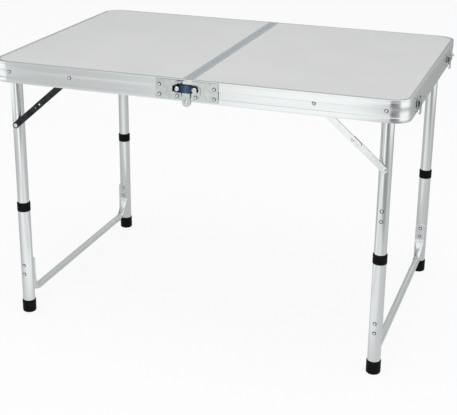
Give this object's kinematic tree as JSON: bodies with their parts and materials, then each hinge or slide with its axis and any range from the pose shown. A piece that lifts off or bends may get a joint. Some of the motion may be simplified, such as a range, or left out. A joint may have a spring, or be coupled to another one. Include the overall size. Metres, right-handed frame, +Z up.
{
  "type": "folding camp kitchen table",
  "caption": "Folding aluminium camp kitchen table: framed board halves hinged at the middle, telescoping legs on folding braces, seam hooks and end latches.",
  "frame": {"origin": "on the ground under the middle of the table, at the centre of its footprint", "axes": "+X along the table to the latch end, -Y to the front, +Z up"},
  "size_m": [0.924, 0.6318, 0.6],
  "materials": {
    "rim_aluminium": "extruded and lightly brushed, clear anodised",
    "seam_aluminium": "brushed, clear anodised",
    "leg_aluminium": "satin anodised tube",
    "board_laminate": "pale silver-grey laminate, faint mottle, low sheen",
    "zinc_steel": "bright zinc-plated pressings",
    "blue_zinc_steel": "dark blue-passivated zinc",
    "rivet_aluminium": "domed blind rivets",
    "black_plastic": "moulded, fine grain"
  },
  "bodies": {
    "left_half": {"left_rim": "rim_aluminium", "left_board": "board_laminate", "left_seam_rail": "seam_aluminium", "left_leg_brackets": "zinc_steel", "left_leg_pivot_pins": "zinc_steel", "left_rail_brace_pins": "zinc_steel", "left_hinge_plates": "zinc_steel", "hinge_pins": "zinc_steel", "left_hinge_rivets": "rivet_aluminium", "hook_pins": "zinc_steel", "catch_plates": "zinc_steel", "handle_blocks": "black_plastic"},
    "right_half": {"right_rim": "rim_aluminium", "right_board": "board_laminate", "right_seam_rail": "seam_aluminium", "right_leg_brackets": "zinc_steel", "right_leg_pivot_pins": "zinc_steel", "right_rail_brace_pins": "zinc_steel", "right_hinge_plates": "zinc_steel", "right_hinge_rivets": "rivet_aluminium", "hook_studs": "zinc_steel", "latch_bases": "zinc_steel"},
    "left_upper_legs": {"left_front_upper_tube": "leg_aluminium", "left_back_upper_tube": "leg_aluminium", "left_leg_plugs": "black_plastic", "left_leg_brace_rivets": "zinc_steel"},
    "left_lower_frame": {"left_front_lower_tube": "leg_aluminium", "left_front_collar": "black_plastic", "left_front_foot": "black_plastic", "left_back_lower_tube": "leg_aluminium", "left_back_collar": "black_plastic", "left_back_foot": "black_plastic", "left_crossbar": "leg_aluminium", "left_crossbar_rivets": "rivet_aluminium"},
    "left_front_leg_link": {"left_front_leg_link": "zinc_steel"},
    "left_front_rail_link": {"left_front_rail_link": "zinc_steel"},
    "left_back_leg_link": {"left_back_leg_link": "zinc_steel"},
    "left_back_rail_link": {"left_back_rail_link": "zinc_steel"},
    "right_upper_legs": {"right_front_upper_tube": "leg_aluminium", "right_back_upper_tube": "leg_aluminium", "right_leg_plugs": "black_plastic", "right_leg_brace_rivets": "zinc_steel", "right_front_leg_studs": "rivet_aluminium"},
    "right_lower_frame": {"right_front_lower_tube": "leg_aluminium", "right_front_collar": "black_plastic", "right_front_foot": "black_plastic", "right_back_lower_tube": "leg_aluminium", "right_back_collar": "black_plastic", "right_back_foot": "black_plastic", "right_crossbar": "leg_aluminium", "right_crossbar_rivets": "rivet_aluminium"},
    "right_front_leg_link": {"right_front_leg_link": "zinc_steel"},
    "right_front_rail_link": {"right_front_rail_link": "zinc_steel"},
    "right_back_leg_link": {"right_back_leg_link": "zinc_steel"},
    "right_back_rail_link": {"right_back_rail_link": "zinc_steel"},
    "front_hook": {"front_hook": "blue_zinc_steel"},
    "back_hook": {"back_hook": "blue_zinc_steel"},
    "front_latch_hook": {"front_latch_hook": "zinc_steel"},
    "back_latch_hook": {"back_latch_hook": "zinc_steel"},
    "carry_handle": {"carry_handle": "black_plastic"}
  },
  "joints": [
    {"name": "table_fold", "type": "hinge", "parent": "left_half", "child": "right_half", "pos_m": [0, 0, 0.5535], "axis": [0, 1, 0], "range_deg": [0, 60]},
    {"name": "left_leg_fold", "type": "hinge", "parent": "left_half", "child": "left_upper_legs", "pos_m": [-0.4065, 0, 0.578], "axis": [0, -1, 0], "range_deg": [0, 90]},
    {"name": "left_leg_slide", "type": "slide", "parent": "left_upper_legs", "child": "left_lower_frame", "axis": [0, 0, 1], "range_m": [0, 0.1752]},
    {"name": "left_front_rail_link_turn", "type": "hinge", "parent": "left_half", "child": "left_front_rail_link", "pos_m": [-0.264, 0, 0.578], "axis": [0, 1, 0], "range_deg": [0, 40.96]},
    {"name": "left_front_leg_link_turn", "type": "hinge", "parent": "left_upper_legs", "child": "left_front_leg_link", "pos_m": [-0.4065, 0, 0.4545], "axis": [0, -1, 0], "range_deg": [0, 49.14]},
    {"name": "left_back_rail_link_turn", "type": "hinge", "parent": "left_half", "child": "left_back_rail_link", "pos_m": [-0.264, 0, 0.578], "axis": [0, 1, 0], "range_deg": [0, 40.96]},
    {"name": "left_back_leg_link_turn", "type": "hinge", "parent": "left_upper_legs", "child": "left_back_leg_link", "pos_m": [-0.4065, 0, 0.4545], "axis": [0, -1, 0], "range_deg": [0, 49.14]},
    {"name": "right_leg_fold", "type": "hinge", "parent": "right_half", "child": "right_upper_legs", "pos_m": [0.4065, 0, 0.578], "axis": [0, 1, 0], "range_deg": [0, 90]},
    {"name": "right_leg_slide", "type": "slide", "parent": "right_upper_legs", "child": "right_lower_frame", "axis": [0, 0, 1], "range_m": [0, 0.1752]},
    {"name": "right_front_rail_link_turn", "type": "hinge", "parent": "right_half", "child": "right_front_rail_link", "pos_m": [0.264, 0, 0.578], "axis": [0, -1, 0], "range_deg": [0, 40.96]},
    {"name": "right_front_leg_link_turn", "type": "hinge", "parent": "right_upper_legs", "child": "right_front_leg_link", "pos_m": [0.4065, 0, 0.4545], "axis": [0, 1, 0], "range_deg": [0, 49.14]},
    {"name": "right_back_rail_link_turn", "type": "hinge", "parent": "right_half", "child": "right_back_rail_link", "pos_m": [0.264, 0, 0.578], "axis": [0, -1, 0], "range_deg": [0, 40.96]},
    {"name": "right_back_leg_link_turn", "type": "hinge", "parent": "right_upper_legs", "child": "right_back_leg_link", "pos_m": [0.4065, 0, 0.4545], "axis": [0, 1, 0], "range_deg": [0, 49.14]},
    {"name": "front_hook_turn", "type": "hinge", "parent": "left_half", "child": "front_hook", "pos_m": [-0.02, 0, 0.581], "axis": [0, -1, 0], "range_deg": [0, 75]},
    {"name": "back_hook_turn", "type": "hinge", "parent": "left_half", "child": "back_hook", "pos_m": [-0.02, 0, 0.581], "axis": [0, -1, 0], "range_deg": [0, 75]},
    {"name": "front_latch_turn", "type": "hinge", "parent": "right_half", "child": "front_latch_hook", "pos_m": [0.4549, 0, 0.5805], "axis": [0, -1, 0], "range_deg": [0, 100]},
    {"name": "back_latch_turn", "type": "hinge", "parent": "right_half", "child": "back_latch_hook", "pos_m": [0.4549, 0, 0.5805], "axis": [0, -1, 0], "range_deg": [0, 100]},
    {"name": "handle_turn", "type": "hinge", "parent": "left_half", "child": "carry_handle", "pos_m": [-0.4565, 0, 0.588], "axis": [0, 1, 0], "range_deg": [0, 95]}
  ],
  "couplings": [
    {"joint": "left_leg_slide", "follows": "left_leg_fold", "m_per_rad": 0.11141},
    {"joint": "left_front_rail_link_turn", "follows": "left_leg_fold", "ratio": 0.4546},
    {"joint": "left_front_leg_link_turn", "follows": "left_leg_fold", "ratio": 0.5454},
    {"joint": "left_back_rail_link_turn", "follows": "left_leg_fold", "ratio": 0.4546},
    {"joint": "left_back_leg_link_turn", "follows": "left_leg_fold", "ratio": 0.5454},
    {"joint": "right_leg_slide", "follows": "right_leg_fold", "m_per_rad": 0.11141},
    {"joint": "right_front_rail_link_turn", "follows": "right_leg_fold", "ratio": 0.4546},
    {"joint": "right_front_leg_link_turn", "follows": "right_leg_fold", "ratio": 0.5454},
    {"joint": "right_back_rail_link_turn", "follows": "right_leg_fold", "ratio": 0.4546},
    {"joint": "right_back_leg_link_turn", "follows": "right_leg_fold", "ratio": 0.5454},
    {"joint": "front_hook_turn", "follows": "table_fold", "ratio": 1.25},
    {"joint": "back_hook_turn", "follows": "table_fold", "ratio": 1.25}
  ]
}
